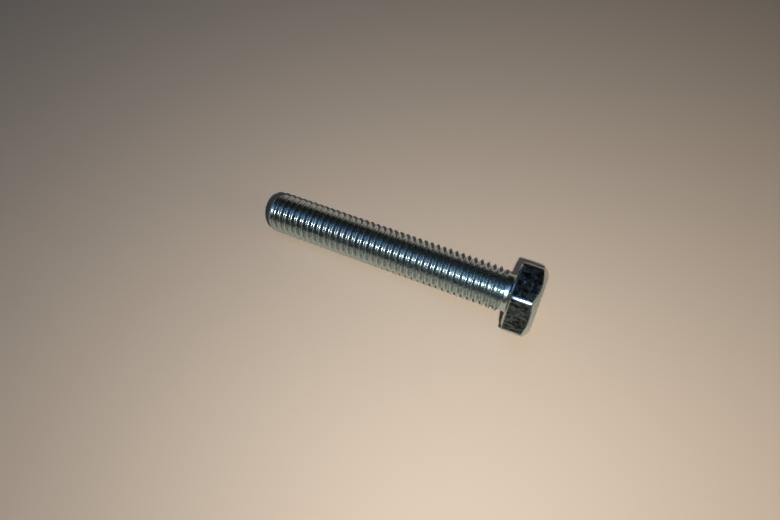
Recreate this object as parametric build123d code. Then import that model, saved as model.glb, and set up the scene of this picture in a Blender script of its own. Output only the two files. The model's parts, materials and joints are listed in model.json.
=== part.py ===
from build123d import *
import os
from math import atan2, degrees, radians, sqrt, tan

# Hex head screw, M8 x 1.25 x 50, threaded up to the head, in zinc-plated steel.
# One forged and thread-rolled piece. All lengths are in millimetres, all angles in degrees.
#
# The screw is first built upright on its own axis: Z is the axis, the bearing face of the
# head lies at Z = 0, the head is above it and the shank hangs below. It is then laid down
# as it comes to rest on a table, with the head towards +X and the point towards -X: one flat
# of the head touches the table beside the washer face, and the thread touches it at the point.

# ---- driving dimensions -------------------------------------------------------------------

# shank
LENGTH = 50.0             # bearing face to the end of the point
MAJOR_DIAMETER = 7.88     # over the crests of the thread (8 nominal, tolerance 6g)
POINT_DIAMETER = 5.8      # flat end of the point, under the root of the thread
POINT_ANGLE = 45.0        # chamfer of the point, from the axis
NECK_DIAMETER = 7.16      # unthreaded blank under the head, the pitch diameter of the thread
NECK_LENGTH = 1.7         # bearing face to the first fading crest
RUNOUT_LENGTH = 0.6       # over which that crest rises to full height
NECK_FILLET = 0.5         # between the neck and the bearing face

# head
ACROSS_FLATS = 12.9       # for a 13 mm spanner
HEAD_HEIGHT = 5.3
CORNER_ROUNDING = 1.0     # radius of the six upright edges, as cold forging leaves them
WASHER_DIAMETER = 11.8    # round bearing face, raised under the hexagon
WASHER_THICKNESS = 0.3
CROWN_DIAMETER = 10.8     # flat top of the head, inside the crown
CROWN_DROP = 1.33         # from the top down to where the crown meets a sharp corner
CROWN_BULGE = 0.06        # of the crown above the chord of its profile

# ---- sizes that follow --------------------------------------------------------------------

crest_radius = MAJOR_DIAMETER / 2
neck_radius = NECK_DIAMETER / 2
point_radius = POINT_DIAMETER / 2
flat_radius = ACROSS_FLATS / 2
corner_radius = ACROSS_FLATS / sqrt(3)
washer_radius = WASHER_DIAMETER / 2
crown_radius = CROWN_DIAMETER / 2

point_height = (crest_radius - point_radius) / tan(radians(POINT_ANGLE))


# ---- shank --------------------------------------------------------------------------------

def shank():
    """Point, thread envelope, run-out, neck and under-head fillet, turned in one go.

    The cylinder between the point and the run-out is the envelope of the M8 x 1.25 thread:
    it passes over the crests.
    """
    fillet_edge = neck_radius + NECK_FILLET
    outline = [
        (0, -LENGTH),
        (point_radius, -LENGTH),
        (crest_radius, -LENGTH + point_height),
        (crest_radius, -NECK_LENGTH - RUNOUT_LENGTH),
        (neck_radius, -NECK_LENGTH),
        (neck_radius, -NECK_FILLET),
    ]
    with BuildPart() as turned:
        with BuildSketch(Plane.XZ):
            with BuildLine():
                Polyline(*outline)
                RadiusArc(outline[-1], (fillet_edge, 0), NECK_FILLET)
                Polyline((fillet_edge, 0), (0, 0), outline[0])
            make_face()
        revolve(axis=Axis.Z)
    return turned.part


# ---- head ---------------------------------------------------------------------------------

def hexagon():
    """Hexagonal prism above the washer face, with rounded upright edges."""
    with BuildPart() as prism:
        with BuildSketch(Plane.XY.offset(WASHER_THICKNESS)):
            RegularPolygon(flat_radius, 6, major_radius=False, rotation=30)
        extrude(amount=HEAD_HEIGHT - WASHER_THICKNESS)
        fillet(prism.edges().filter_by(Axis.Z), CORNER_ROUNDING)
    return prism.part


def crowned_blank():
    """The turned form that the hexagon is trimmed from.

    Its crown is a shallow arc that falls from the flat top. It is drawn on past the corners, so
    that it cuts every upright edge of the hexagon and leaves a curved crown line on each flat.
    """
    overshoot = 1.2
    outer = crown_radius + overshoot * (corner_radius - crown_radius)
    crown_edge = HEAD_HEIGHT - overshoot * CROWN_DROP
    with BuildPart() as blank:
        with BuildSketch(Plane.XZ):
            with BuildLine():
                SagittaArc((crown_radius, HEAD_HEIGHT), (outer, crown_edge), CROWN_BULGE)
                Polyline((outer, crown_edge), (outer, 0), (0, 0), (0, HEAD_HEIGHT), (crown_radius, HEAD_HEIGHT))
            make_face()
        revolve(axis=Axis.Z)
    return blank.part


def washer_face():
    """The low round land under the hexagon that bears on the clamped part."""
    return extrude(Circle(washer_radius), WASHER_THICKNESS)


# ---- the screw, laid down -----------------------------------------------------------------

def resting_tilt():
    """Angle of the axis to the table.

    The table touches the head along the lower end of one flat, beside the washer face, and the
    shank where the thread meets the chamfer of the point.
    """
    height_difference = flat_radius - crest_radius
    span = WASHER_THICKNESS + LENGTH - point_height
    return degrees(atan2(height_difference, span))


def laid_down(upright):
    """The upright screw turned so that its +X flat lies on the table, at Z = 0.

    The origin is then the point of the table under the middle of the screw's box.
    """
    lying = Rotation(0, 90 - resting_tilt(), 0) * upright
    box = lying.bounding_box()
    return Pos(-box.center().X, -box.center().Y, -box.min.Z) * lying


head = hexagon() & crowned_blank()
screw = laid_down(shank() + washer_face() + head)
screw.label = "hex_head_screw"

os.makedirs("parts", exist_ok=True)
export_step(screw, "parts/hex_head_screw.step")
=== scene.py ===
"""Hex head screw, M8 x 1.25 x 50, in bright zinc-plated steel, lying on a pale table.

The whole screw is one closed surface worked out with numpy. It is laid out in millimetres on
the screw's own axis: z runs along the axis from 0 at the bearing face, up to the head and
down to the point, and x points at the flat that lies on the table.
"""

import json
import math

import bmesh
import bpy
import numpy as np
from mathutils import Matrix, Vector


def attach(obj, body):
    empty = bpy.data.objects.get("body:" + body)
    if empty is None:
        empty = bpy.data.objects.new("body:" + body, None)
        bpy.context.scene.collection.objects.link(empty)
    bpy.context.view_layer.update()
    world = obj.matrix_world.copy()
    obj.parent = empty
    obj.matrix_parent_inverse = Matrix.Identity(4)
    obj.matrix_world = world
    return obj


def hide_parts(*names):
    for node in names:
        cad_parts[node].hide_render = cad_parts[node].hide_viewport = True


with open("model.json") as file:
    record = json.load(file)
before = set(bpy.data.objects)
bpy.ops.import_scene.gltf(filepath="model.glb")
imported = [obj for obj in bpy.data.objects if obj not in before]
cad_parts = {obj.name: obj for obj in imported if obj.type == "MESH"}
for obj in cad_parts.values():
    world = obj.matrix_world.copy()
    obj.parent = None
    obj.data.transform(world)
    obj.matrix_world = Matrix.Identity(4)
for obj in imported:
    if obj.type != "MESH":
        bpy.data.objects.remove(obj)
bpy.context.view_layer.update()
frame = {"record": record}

MM = 0.001

# ---- sizes of the thread, neck and point, in millimetres ------------------------------------

LENGTH = 50.0
PITCH = 1.25
CREST_RADIUS = 3.94
CREST_FLAT = PITCH / 8
CREST_EDGE_SOFTNESS = 0.06
FLANK_SLOPE = math.tan(math.radians(60))
ROOT_ROUNDING = 0.18
CREST_STEPS = (0.0, 0.045, 0.085, 0.15, 0.25, 0.36, 0.41, 0.455)   # from the crest, in pitches
LAST_CREST = -1.30           # height of the crest where it crosses LAST_CREST_ANGLE below the head
LAST_CREST_ANGLE = math.radians(118.6)
THREAD_FULL_TO = -2.0        # up to here the thread has its full depth
THREAD_GONE_AT = -0.8        # and here it has faded into the neck
NECK_RADIUS = 3.58
NECK_TOP = -0.62             # a plain closed ring of the neck, above the thread
NECK_FILLET = 0.5
POINT_RADIUS = 2.79
POINT_EASE = 0.65            # how fast the point swells to the full thread
END_SLOPE = 1.6              # how fast the rings of the flat end shrink to its centre

# ---- sizes of the head, in millimetres ------------------------------------------------------

HEAD_HEIGHT = 5.3
HALF_FLATS = 6.45
CORNER_REACH = 2 * HALF_FLATS / math.sqrt(3)     # axis to a corner, before it is rounded
CORNER_ROUNDING = 1.0
LOWER_EDGE = 0.18            # radius of the lower edge of the hexagon
ROLL_IN = 0.10               # of the flats, at their lower ends
ROLL_HEIGHT = 1.2
CROWN_EDGE = 0.2             # length of the eased edge between a flat and the crown, each way
CROWN_RADIUS = 5.4
CROWN_DROP = 1.33
CROWN_BULGE = 0.06
CROWN_OVERSHOOT = 1.2        # the crown's arc is drawn on past the corners by this share
CROWN_SLOPE = CROWN_DROP / (CORNER_REACH - CROWN_RADIUS)
TOP_RINGS = (5.32, 4.6, 3.4, 2.0, 0.8, 0.0)      # radii on the flat top

WASHER_RADIUS = 5.9
WASHER_HEIGHT = 0.3
BEARING_RINGS = (            # how far the points keep the hexagon's spacing, and radius
    (0.1, 4.4),
    (0.4, 5.0),
    (0.7, 5.5),
    (0.9, 5.82),
)
WASHER_SIDE = (              # distance past the washer's radius, and height
    (-0.02, 0.025),
    (0.0, 0.08),
    (0.0, WASHER_HEIGHT - 0.08),
    (0.025, WASHER_HEIGHT - 0.02),
)
UNDERSIDE_START = 0.08       # past the washer's radius, where the flat underside begins

FIRST_ANGLE = math.radians(30)   # a corner of the hexagon
ARC_STEPS = 4                # steps of half a corner of the hexagon
PER_FLAT = 16                # steps round the head for each flat
TURN = 6 * PER_FLAT          # steps round one turn of the thread
FILLET_RINGS = 7
FLAT_RINGS = 17

# ---- finish of the metal --------------------------------------------------------------------

BRIGHT_ZINC = ((0.45, 0.56, 0.58), (0.56, 0.65, 0.65))
# Painted shade: the tint darkens towards the bottoms of the thread's grooves, standing in for the shade
# in its hollows.
GROOVE_SHADE_ZINC = (0.22, 0.23, 0.22)
GROOVE_SHADE_SHARE = 0.24          # of the grooves' tint at their bottom
# Painted dark reflection on the flats: their tint is set far darker than the zinc's, standing in for the
# dark they reflect; its streaky pattern is wear.
WORN_AND_SHADED_ZINC = ((0.018, 0.024, 0.025), (0.145, 0.18, 0.185))
ROUGHNESS = 0.245
PATCH_ROUGHNESS = 0.05       # added in patches
WORN_ROUGHNESS = 0.02        # added on the flats
BUMP_DEPTH = 0.02            # millimetres

# Each pair holds where a mask begins and where it is full, in millimetres.
HEAD_STARTS = (0.2, 0.35)    # heights
FLATS_START = (0.32, 0.6)    # heights
THREAD_ENDS = (-1.2, -0.6)   # heights
FLATS_END = (-0.22, -0.05)   # heights from the crown
CORNERS_START = (7.17, 7.28)     # distances from the axis
GROOVE_ENDS = (3.25, 3.8)    # distances from the axis

# ---- lamps and camera, in millimetres -------------------------------------------------------

BULB_PLACE = (29, -47, 95)
BULB_RADIUS = 1.5
BULB_POWER = 0.378
BULB_COLOUR = (0.852, 0.917, 1.0)
WINDOW_PLACE = (-62, 5, 260)
WINDOW_SIZE = (170, 110)
WINDOW_RADIANCE = 1.1
WINDOW_COLOUR = (0.12, 0.42, 1.0)
RIGHT_PLACE = (150, 0, 75)
RIGHT_AIM = (20, 0, 0)
RIGHT_SIZE = (70, 50)
RIGHT_RADIANCE = 1.9
RIGHT_COLOUR = (1.0, 0.93, 0.83)
ROOM_COLOUR = (0.014, 0.010, 0.006)

TABLE_COLOUR = (0.76, 0.567, 0.395)
TABLE_STEPS = 64
TABLE_RINGS = (0.0, 0.1, 0.25, 0.5, 1.0, 2.0)    # radii, in metres

SENSOR_WIDTH = 36
LENS = 28.508
SHIFT_UP = 0.0005
CAMERA_PLACE = (-1.455, -50.735, 105.253)        # from the middle of the bearing face
CAMERA_LOOK = (-0.18683664, 0.40989198, -0.89279373)
CAMERA_ROLL = math.radians(-1.2019)

# ---- where the screw lies -------------------------------------------------------------------

head_top = next(m for m in frame["record"]["mounts"] if m["name"] == "head_top")
to_head = Vector(head_top["axis"]).normalized()
bearing = Vector(head_top["pos_m"]) - HEAD_HEIGHT * MM * to_head      # middle of the bearing face
across = Vector((0, 1, 0))
to_table = across.cross(to_head).normalized()
lying = Matrix((to_table, across, to_head)).transposed()     # columns: the screw's x, y and z


# ---- the surface ----------------------------------------------------------------------------

def thread_radius(s):
    """Rolled 60 degree profile over one pitch, s from 0 to 1, crest in the middle.

    The drop d below the crest is the flank's slope times the distance past the crest's flat.
    Its corner is eased with (d + sqrt(d^2 + e^2)) / 2, e the softness, and the root is an arc
    tangent to both flanks.
    """
    x = np.abs(s - 0.5) * PITCH
    d = FLANK_SLOPE * (x - CREST_FLAT / 2)
    flank = (d + np.sqrt(d * d + CREST_EDGE_SOFTNESS ** 2)) / 2
    apex = FLANK_SLOPE * (PITCH - CREST_FLAT) / 2
    from_root = PITCH / 2 - x
    inside = np.minimum(from_root / ROOT_ROUNDING, 0.999)
    arc = apex - 2 * ROOT_ROUNDING + ROOT_ROUNDING * np.sqrt(1 - inside ** 2)
    in_arc = from_root < ROOT_ROUNDING * math.cos(math.radians(30))
    return CREST_RADIUS - np.where(in_arc, np.minimum(flank, arc), flank)


def smooth(a, b, x):
    """Smooth step: 0 below a, 1 above b, 3t^2 - 2t^3 between."""
    t = np.clip((x - a) / (b - a), 0, 1)
    return t * t * (3 - 2 * t)


def shank_grid():
    """The threaded shank as one long spiral of vertices, with its quads.

    Row i is at the angle first + i * step, and column s of a row at the height
    start + pitch * (s + turns). The radius is the thread's profile, faded into the neck by a
    smooth step and held under the point's swell, which nears the crest as 1 - exp(-h / ease).
    Heights under the end of the point shrink to its centre, the whole first turn among them,
    and heights over the plain neck stop at one ring, so the spiral closes at both ends once
    its doubles are merged.
    """
    steps = np.array(CREST_STEPS)
    s = np.concatenate((0.5 - steps[::-1], 0.5 + steps[1:], [1.0]))
    columns = len(s)
    crest_turns = 0.5 + (LAST_CREST_ANGLE - FIRST_ANGLE) / math.tau
    lowest = -LENGTH - POINT_RADIUS / END_SLOPE - 2 * PITCH
    start = lowest + (LAST_CREST - PITCH * crest_turns - lowest) % PITCH
    rows = (math.ceil((NECK_TOP - start) / PITCH) + 1) * TURN + 1
    i = np.arange(rows)
    angle = FIRST_ANGLE + i * math.tau / TURN
    height = start + PITCH * (s[None, :] + i[:, None] / TURN)

    full = thread_radius(s)[None, :]
    fade = 1 - smooth(THREAD_FULL_TO, THREAD_GONE_AT, height)
    radius = NECK_RADIUS + (full - NECK_RADIUS) * fade
    past_end = height + LENGTH
    swell = 1 - np.exp(-np.clip(past_end, 0, None) / POINT_EASE)
    cone = POINT_RADIUS + (CREST_RADIUS - POINT_RADIUS) * swell
    end = np.clip(POINT_RADIUS + END_SLOPE * past_end, 0, None)
    radius = np.minimum(radius, np.where(past_end < 0, end, cone))
    z = np.clip(height, -LENGTH, NECK_TOP)

    x, y = radius * np.cos(angle)[:, None], radius * np.sin(angle)[:, None]
    points = np.stack((x, y, z), -1)
    number = np.arange(rows * columns).reshape(rows, columns)
    inner = np.stack((number[:-1, :-1], number[1:, :-1], number[1:, 1:], number[:-1, 1:]), -1)
    below, above = number[:-TURN, -1], number[TURN:, 0]
    seam = np.stack((below[:-1], below[1:], above[1:], above[:-1]), -1)
    return points.reshape(-1, 3), np.concatenate((inner.reshape(-1, 4), seam))


def hexagon_outline():
    """Points and outward normals of the rounded hexagon, TURN of them, corner first.

    Half a corner is an arc of 30 degrees in ARC_STEPS steps, and half a flat is a straight run.
    Together they are mirrored at the flat's middle, and that sector is turned six times.
    """
    half = PER_FLAT // 2
    turning = np.radians(np.minimum(np.arange(half + 1) * 30.0 / ARC_STEPS, 30.0))
    centre = (HALF_FLATS - CORNER_ROUNDING) / math.cos(math.radians(30))
    half_flat = centre * math.sin(math.radians(30))
    run = np.clip(np.arange(half + 1) - ARC_STEPS, 0, None) / (half - ARC_STEPS) * half_flat
    x = centre + CORNER_ROUNDING * np.cos(turning) + run * math.cos(math.radians(120))
    y = CORNER_ROUNDING * np.sin(turning) + run * math.sin(math.radians(120))
    first = np.stack((x, y), -1)
    normal = np.stack((np.cos(turning), np.sin(turning)), -1)
    cos60, sin60 = math.cos(math.radians(60)), math.sin(math.radians(60))
    mirror = np.array([[cos60, sin60], [sin60, -cos60]])
    sector = np.concatenate((first, (first @ mirror)[-2:0:-1]))
    sector_normal = np.concatenate((normal, (normal @ mirror)[-2:0:-1]))
    outline, normals = [], []
    for k in range(6):
        a = FIRST_ANGLE + k * math.radians(60)
        turn = np.array([[math.cos(a), math.sin(a)], [-math.sin(a), math.cos(a)]])
        outline.append(sector @ turn)
        normals.append(sector_normal @ turn)
    return np.concatenate(outline), np.concatenate(normals)


def crown_height(radius):
    """Height of the crown at a radius: a chord from the flat top with a shallow bulge.

    At the share t of the chord the bulge is 4 b t (1 - t), square to the chord.
    """
    wide = CROWN_OVERSHOOT * (CORNER_REACH - CROWN_RADIUS)
    deep = CROWN_OVERSHOOT * CROWN_DROP
    chord = math.hypot(wide, deep)
    t = np.linspace(0, 1, 400)
    bulge = 4 * CROWN_BULGE * t * (1 - t)
    r = CROWN_RADIUS + wide * t + bulge * deep / chord
    z = HEAD_HEIGHT - deep * t + bulge * wide / chord
    return np.interp(radius, r, z)


def head_rings():
    """Rings of TURN points each, from the neck to the middle of the head's top.

    The fillet is a quarter circle, and the bearing face is circles whose spacing eases into
    the hexagon's. The hexagon's outline is moved inwards along its normals: by an arc at its
    lower edge, then by the parabola of the rolled-in flats. Each point of the outline rises to
    the crown's height at its own distance from the axis, is eased over the edge by a square
    law and follows the crown to its flat top.
    """
    outline, normal = hexagon_outline()
    even = FIRST_ANGLE + np.arange(TURN) * math.tau / TURN
    hex_angle = np.unwrap(np.arctan2(outline[:, 1], outline[:, 0]))
    hex_angle = hex_angle + (even[0] - hex_angle[0])
    rings = []

    def circle(radius, z, share):
        a = even + (hex_angle - even) * share
        rings.append(np.stack((radius * np.cos(a), radius * np.sin(a), np.full(TURN, float(z))), -1))

    def rolled(z):
        """How far a flat's lower end leans in: a parabola that ends at ROLL_HEIGHT."""
        return ROLL_IN * np.clip(1 - (z - WASHER_HEIGHT) / ROLL_HEIGHT, 0, 1) ** 2

    def hexagon(inset, z):
        rings.append(np.column_stack((outline - normal * inset[:, None], z)))

    for z in (NECK_TOP, NECK_TOP + 0.06):
        circle(NECK_RADIUS, z, 0)
    for a in np.radians(np.linspace(0, 90, FILLET_RINGS)):
        radius = NECK_RADIUS + NECK_FILLET * (1 - math.cos(a))
        circle(radius, -NECK_FILLET * (1 - math.sin(a)), 0)
    for share, radius in BEARING_RINGS:
        circle(radius, 0, share)
    for past, z in WASHER_SIDE:
        circle(WASHER_RADIUS + past, z, 1)

    around = np.stack((np.cos(hex_angle), np.sin(hex_angle)), -1)
    inner = around * (WASHER_RADIUS + UNDERSIDE_START)
    outer = outline - normal * LOWER_EDGE
    for share in (0, 0.45, 1):
        xy = inner * (1 - share) + outer * share
        rings.append(np.column_stack((xy, np.full(TURN, WASHER_HEIGHT))))
    for a in np.radians((25, 50, 70, 90)):
        z = np.full(TURN, WASHER_HEIGHT + LOWER_EDGE * (1 - math.cos(a)))
        hexagon(LOWER_EDGE * (1 - math.sin(a)) + rolled(z) * math.sin(a), z)

    reach = np.hypot(*outline.T)
    edge = crown_height(reach)
    low = WASHER_HEIGHT + LOWER_EDGE
    for share in np.linspace(0, 1, FLAT_RINGS + 1)[1:]:
        z = low + (edge - CROWN_EDGE - low) * share ** 1.3
        hexagon(rolled(z), z)

    slope = math.atan(CROWN_SLOPE)
    for u in (0.25, 0.5, 0.75, 1.0):
        inset = u * u * CROWN_EDGE * math.cos(slope)
        z = edge - (1 - u) ** 2 * CROWN_EDGE + u * u * CROWN_EDGE * math.sin(slope)
        rings.append(np.column_stack((outline * (1 - inset / reach)[:, None], z)))
    top_edge = outline / reach[:, None] * CROWN_RADIUS
    start = CROWN_EDGE * math.cos(slope) / (reach - CROWN_RADIUS)
    for share in (0.15, 0.35, 0.55, 0.75, 0.92, 1.0):
        step = (start + (1 - start) * share)[:, None]
        xy = outline + (top_edge - outline) * step
        rings.append(np.column_stack((xy, crown_height(np.hypot(*xy.T)))))
    for radius in TOP_RINGS:
        circle(radius, HEAD_HEIGHT, 1)
    return np.stack(rings)


def linked(name, data):
    """An object with this data, in the scene."""
    thing = bpy.data.objects.new(name, data)
    bpy.context.scene.collection.objects.link(thing)
    return thing


def mesh_object(name, points, quads, merge_within):
    """A mesh object from arrays in metres; doubles merged, faces turned outwards or upwards."""
    mesh = bpy.data.meshes.new(name)
    mesh.from_pydata(points, [], quads.tolist())
    work = bmesh.new()
    work.from_mesh(mesh)
    bmesh.ops.remove_doubles(work, verts=work.verts, dist=merge_within)
    bmesh.ops.dissolve_degenerate(work, edges=work.edges, dist=1e-8)
    bmesh.ops.recalc_face_normals(work, faces=work.faces)
    work.to_mesh(mesh)
    work.free()
    return linked(name, mesh)


def make_screw():
    """The shank's spiral and the head's rings, welded into one closed surface."""
    shank, shank_quads = shank_grid()
    head = head_rings()
    number = np.arange(len(head) * TURN).reshape(len(head), TURN)
    over = np.roll(number, -1, axis=1)
    head_quads = np.stack((number[:-1], over[:-1], over[1:], number[1:]), -1).reshape(-1, 4)
    points = np.concatenate((shank, head.reshape(-1, 3)))
    quads = np.concatenate((shank_quads, head_quads + len(shank)))
    world = (points * MM) @ np.array(lying).T + np.array(bearing)
    screw = mesh_object("screw", world, quads, 2e-7)
    screw.data.shade_smooth()
    return screw


# ---- shader expressions ---------------------------------------------------------------------

class Wire:
    """A socket of a material's node tree. Arithmetic on it adds Math nodes."""

    def __init__(self, tree, socket=None):
        self.tree, self.socket = tree, socket

    def node(self, kind, settings=None, sockets=None, out=0):
        """Any node: its settings are set first, then the values or links of its sockets."""
        made = self.tree.nodes.new(kind)
        for key, value in (settings or {}).items():
            setattr(made, key, value)
        for key, value in (sockets or {}).items():
            if isinstance(value, Wire):
                self.tree.links.new(value.socket, made.inputs[key])
            else:
                made.inputs[key].default_value = value
        return Wire(self.tree, made.outputs[out] if len(made.outputs) else made)

    def maths(self, operation, *values):
        return self.node("ShaderNodeMath", {"operation": operation}, dict(enumerate(values)))

    def __add__(self, other): return self.maths("ADD", self, other)
    def __radd__(self, other): return self.maths("ADD", other, self)
    def __sub__(self, other): return self.maths("SUBTRACT", self, other)
    def __rsub__(self, other): return self.maths("SUBTRACT", other, self)
    def __mul__(self, other): return self.maths("MULTIPLY", self, other)
    def __rmul__(self, other): return self.maths("MULTIPLY", other, self)

    def at_least(self, low):
        """This, or low where it is less."""
        return self.maths("MAXIMUM", self, low)

    def between(self, low, high):
        """0 where this is below low, 1 where it is above high, smooth between."""
        return self.node("ShaderNodeMapRange", {"interpolation_type": "SMOOTHSTEP"},
                         {"Value": self, "From Min": low, "From Max": high})

    def blend(self, a, b):
        """Colour a where this is 0, colour b where it is 1."""
        a, b = (c if isinstance(c, Wire) else (*c, 1) for c in (a, b))
        return self.node("ShaderNodeMix", {"data_type": "RGBA"}, {0: self, 6: a, 7: b}, out=2)

    def stretched(self, x, y, z):
        """This place with each of its coordinates multiplied."""
        return self.node("ShaderNodeVectorMath", {"operation": "MULTIPLY"}, {0: self, 1: (x, y, z)})

    def noise(self, scale, detail, roughness=0.5):
        """Noise around 0.5 at this place, with about scale waves to the unit."""
        return self.node("ShaderNodeTexNoise", None,
                         {"Vector": self, "Scale": scale, "Detail": detail, "Roughness": roughness})


def new_material(name):
    """A material with an empty tree, and its start wire."""
    material = bpy.data.materials.new(name)
    material.use_nodes = True
    material.node_tree.nodes.clear()
    return material, Wire(material.node_tree)


def zinc_plated_steel():
    """Bright, cool zinc in faint patches, with painted shade darkening the grooves, and dark on the
    flats: a painted dark reflection over a streaky wear pattern.
    """
    material, start = new_material("zinc_plated_steel")
    own = start.node("ShaderNodeMapping", {"vector_type": "TEXTURE"},
                     {"Vector": start.node("ShaderNodeTexCoord", out="Object"),
                      "Location": bearing, "Rotation": lying.to_euler(), "Scale": (MM, MM, MM)})
    height = own.node("ShaderNodeSeparateXYZ", None, {0: own}, out=2)
    off_axis = own.stretched(1, 1, 0)
    reach = own.node("ShaderNodeVectorMath", {"operation": "LENGTH"}, {0: off_axis}, out=1)

    patches = own.noise(1.6, 3.0, roughness=0.6)
    flecks = own.noise(3.0, 3.0).between(0.54, 0.66)
    grain = own.noise(9.0, 2.0)
    streaks = own.stretched(2.4, 2.4, 0.5).noise(1.0, 3.0)

    on_head = height.between(*HEAD_STARTS)
    from_crown = height + CROWN_SLOPE * (reach - CROWN_RADIUS).at_least(0.0) - HEAD_HEIGHT
    # Where the flats' painted dark reflection applies: off the crown and off the rounded corners.
    within_flats = (1 - from_crown.between(*FLATS_END)) * (1 - reach.between(*CORNERS_START))
    on_flats = height.between(*FLATS_START) * within_flats
    # Painted shade in the grooves: 1 at their bottoms, 0 near the crests and on the neck and head.
    groove_shade_mask = (1 - reach.between(*GROOVE_ENDS)) * (1 - height.between(*THREAD_ENDS))

    bright = patches.between(0.35, 0.7).blend(*BRIGHT_ZINC)
    # Painted shade: the bright zinc darkened towards the grooves' bottoms.
    plated_with_groove_shade = (groove_shade_mask * GROOVE_SHADE_SHARE).blend(bright, GROOVE_SHADE_ZINC)
    # Painted dark reflection with real wear: the flats' dark tint, in streaks and patches.
    worn_and_shaded = (streaks * 0.6 + patches * 0.4).between(0.43, 0.58).blend(*WORN_AND_SHADED_ZINC)
    tint = on_flats.blend(plated_with_groove_shade, worn_and_shaded)
    rough = ROUGHNESS + PATCH_ROUGHNESS * patches.between(0.4, 0.7) + on_flats * WORN_ROUGHNESS
    relief = on_flats * (streaks * 0.8 + flecks * 2.0) + on_head * flecks * 0.25 + grain * 0.12
    bump = start.node("ShaderNodeBump", None,
                      {"Height": relief, "Strength": 1.0, "Distance": BUMP_DEPTH * MM})
    surface = start.node("ShaderNodeBsdfPrincipled", None,
                         {"Base Color": tint, "Metallic": 1.0, "Roughness": rough, "Normal": bump})
    start.node("ShaderNodeOutputMaterial", None, {"Surface": surface})
    return material


def table_top():
    """A pale, dull table."""
    material, start = new_material("table_top")
    surface = start.node("ShaderNodeBsdfPrincipled", None,
                         {"Base Color": (*TABLE_COLOUR, 1), "Roughness": 0.6, "Specular IOR Level": 0.2})
    start.node("ShaderNodeOutputMaterial", None, {"Surface": surface})
    return material


# ---- floor, lamps, camera -------------------------------------------------------------------

def make_floor():
    """A flat round table: rings of points at radius times cos a and sin a, at height 0."""
    radii = np.array(TABLE_RINGS)[:, None]
    a = np.arange(TABLE_STEPS) * math.tau / TABLE_STEPS
    x, y = radii * np.cos(a), radii * np.sin(a)
    points = np.stack((x, y, np.zeros_like(x)), -1).reshape(-1, 3)
    number = np.arange(x.size).reshape(x.shape)
    over = np.roll(number, -1, axis=1)
    quads = np.stack((number[:-1], number[1:], over[1:], over[:-1]), -1).reshape(-1, 4)
    floor = mesh_object("floor", points, quads, 1e-6)
    floor.data.materials.append(table_top())


def lamp(name, data, place, aim=(0, 0, 0)):
    """A lamp at place, facing aim, both in millimetres. Only what it lights is seen."""
    thing = linked(name, data)
    place, aim = Vector(place) * MM, Vector(aim) * MM
    turn = (aim - place).to_track_quat("-Z", "Y").to_matrix().to_4x4()
    thing.matrix_world = Matrix.Translation(place) @ turn
    thing.visible_camera = False


def soft_box(name, place, aim, size, radiance, colour):
    """A flat lamp that looks as bright as its radiance: its power is pi times area times that."""
    data = bpy.data.lights.new(name, "AREA")
    data.shape = "RECTANGLE"
    data.size, data.size_y = size[0] * MM, size[1] * MM
    data.energy = radiance * math.pi * data.size * data.size_y
    data.color = colour
    lamp(name, data, place, aim)


def make_lights():
    """A small bulb over the near side, a cool window overhead and a weak warm box at the right."""
    bulb = bpy.data.lights.new("bulb", "POINT")
    bulb.energy, bulb.color, bulb.shadow_soft_size = BULB_POWER, BULB_COLOUR, BULB_RADIUS * MM
    lamp("bulb", bulb, BULB_PLACE)
    below_window = (*WINDOW_PLACE[:2], 0)
    soft_box("window", WINDOW_PLACE, below_window, WINDOW_SIZE, WINDOW_RADIANCE, WINDOW_COLOUR)
    soft_box("right", RIGHT_PLACE, RIGHT_AIM, RIGHT_SIZE, RIGHT_RADIANCE, RIGHT_COLOUR)
    world = bpy.data.worlds.new("room")
    bpy.context.scene.world = world
    world.use_nodes = True
    background = world.node_tree.nodes["Background"]
    background.inputs["Color"].default_value = (*ROOM_COLOUR, 1)
    background.inputs["Strength"].default_value = 1.0


def make_camera():
    """Above the near side and a little towards the head, where the whole screw is in view."""
    data = bpy.data.cameras.new("camera")
    data.sensor_width = SENSOR_WIDTH
    data.lens = LENS
    data.shift_y = SHIFT_UP
    data.clip_start, data.clip_end = 0.005, 10
    camera = linked("camera", data)
    place = bearing + Vector(CAMERA_PLACE) * MM
    roll = Matrix.Rotation(CAMERA_ROLL, 4, "Z").to_quaternion()
    turn = Vector(CAMERA_LOOK).to_track_quat("-Z", "Y") @ roll
    camera.matrix_world = Matrix.Translation(place) @ turn.to_matrix().to_4x4()
    bpy.context.scene.camera = camera


screw = make_screw()
screw.data.materials.append(zinc_plated_steel())
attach(screw, "root")
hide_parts("hex_head_screw")

make_floor()
make_lights()
make_camera()
bpy.context.scene.view_settings.view_transform = "Standard"
